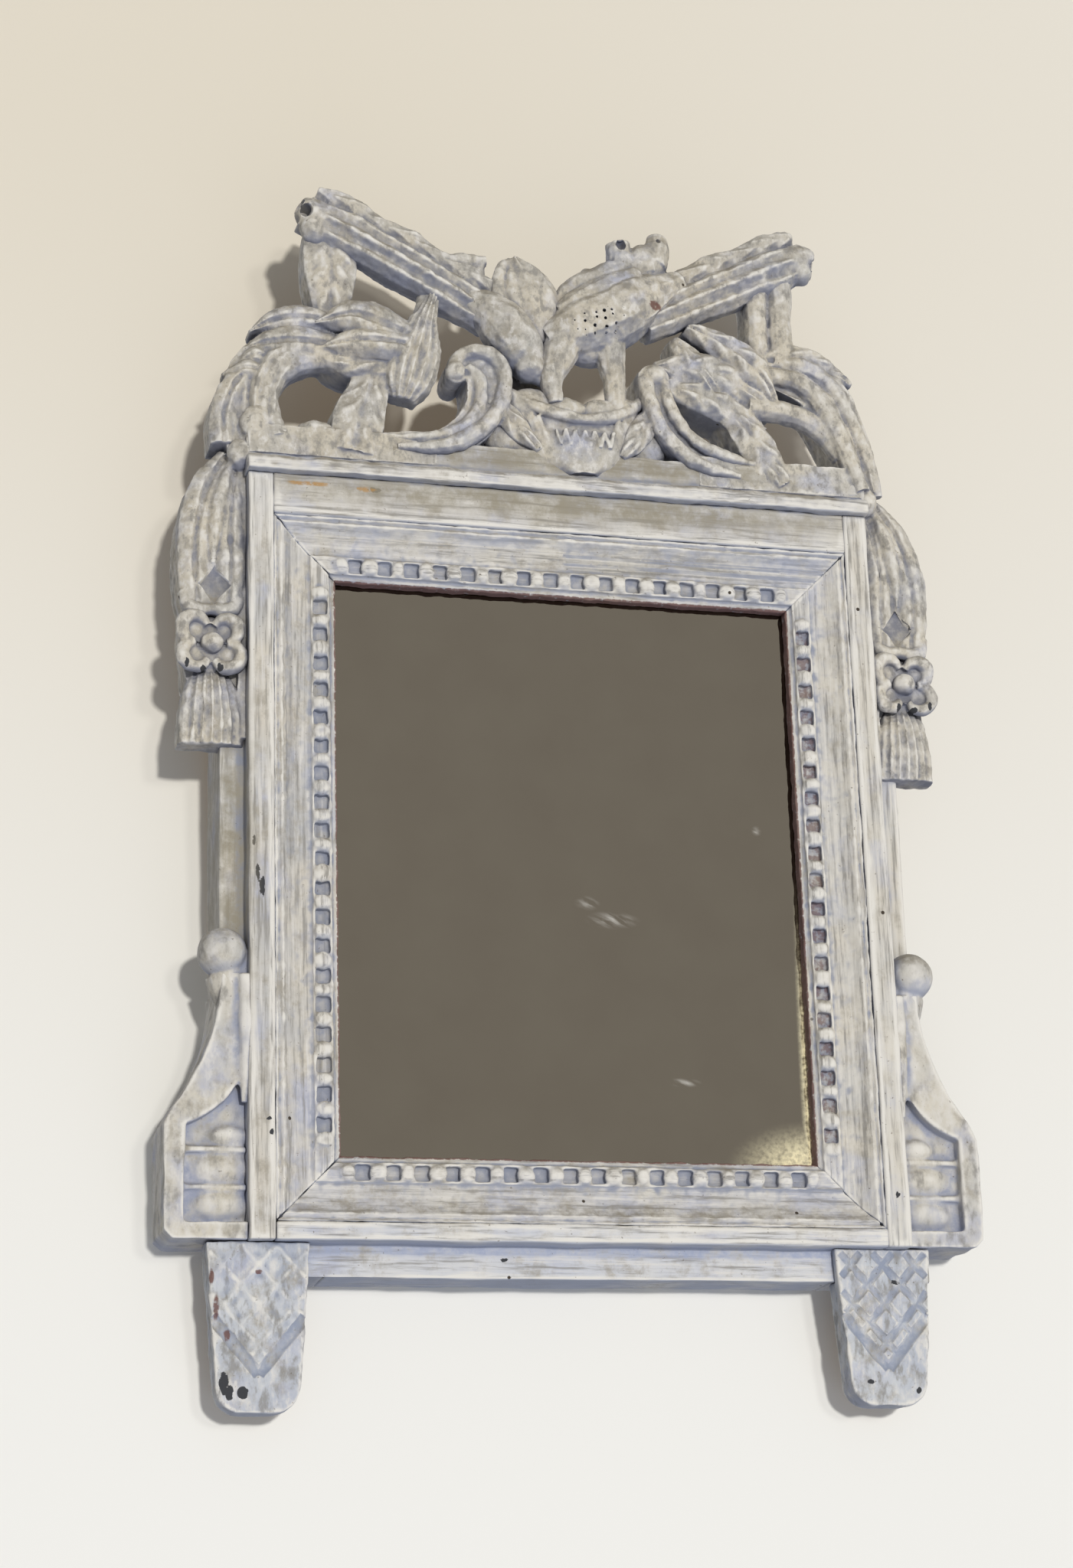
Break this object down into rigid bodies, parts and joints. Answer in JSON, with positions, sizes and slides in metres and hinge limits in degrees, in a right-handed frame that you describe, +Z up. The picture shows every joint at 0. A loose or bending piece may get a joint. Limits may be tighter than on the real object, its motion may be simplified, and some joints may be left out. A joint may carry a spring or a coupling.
{
  "type": "framed wall mirror",
  "caption": "Tall wall mirror in a carved, painted wood frame: beaded moulding, pierced crest with doves and quivers, side drops, scrolled brackets and two tapered feet.",
  "frame": {"origin": "centre of the hanging ring's hinge, on the back of the top rail, 4 mm in front of the wall plane", "axes": "+Z up along the mirror's height, +X to the viewer's right, -Y out of the mirror towards the viewer"},
  "size_m": [0.39, 0.054, 0.609],
  "materials": {
    "painted_wood": "worn chalky paint",
    "mirror_plate": "polished, aged silvering",
    "bare_pine": "raw, aged",
    "dark_iron": "dull, forged"
  },
  "bodies": {
    "frame": {"left_stile": "painted_wood", "right_stile": "painted_wood", "top_rail": "painted_wood", "bottom_rail": "painted_wood", "top_moulding": "painted_wood", "right_moulding": "painted_wood", "bottom_moulding": "painted_wood", "left_moulding": "painted_wood", "cornice_board": "painted_wood", "nest_basket": "painted_wood", "left_scroll": "painted_wood", "right_scroll": "painted_wood", "left_dove": "painted_wood", "right_dove": "painted_wood", "left_quiver": "painted_wood", "right_quiver": "painted_wood", "left_leaf_spray": "painted_wood", "right_leaf_spray": "painted_wood", "left_bracket": "painted_wood", "left_ball": "painted_wood", "left_rosette": "painted_wood", "left_drop": "painted_wood", "left_foot": "painted_wood", "right_bracket": "painted_wood", "right_ball": "painted_wood", "right_rosette": "painted_wood", "right_drop": "painted_wood", "right_foot": "painted_wood", "mirror_glass": "mirror_plate", "backboard": "bare_pine", "joint_pegs": "bare_pine", "crest_dowels": "bare_pine", "foot_dowels": "bare_pine", "hanger_strap": "dark_iron", "hanger_screws": "dark_iron", "backboard_brads": "dark_iron"},
    "ring": {"hanging_ring": "dark_iron"}
  },
  "joints": [
    {"name": "ring_swing", "type": "hinge", "parent": "frame", "child": "ring", "pos_m": [0, 0, 0], "axis": [1, 0, 0], "range_deg": [0, 180]}
  ]
}
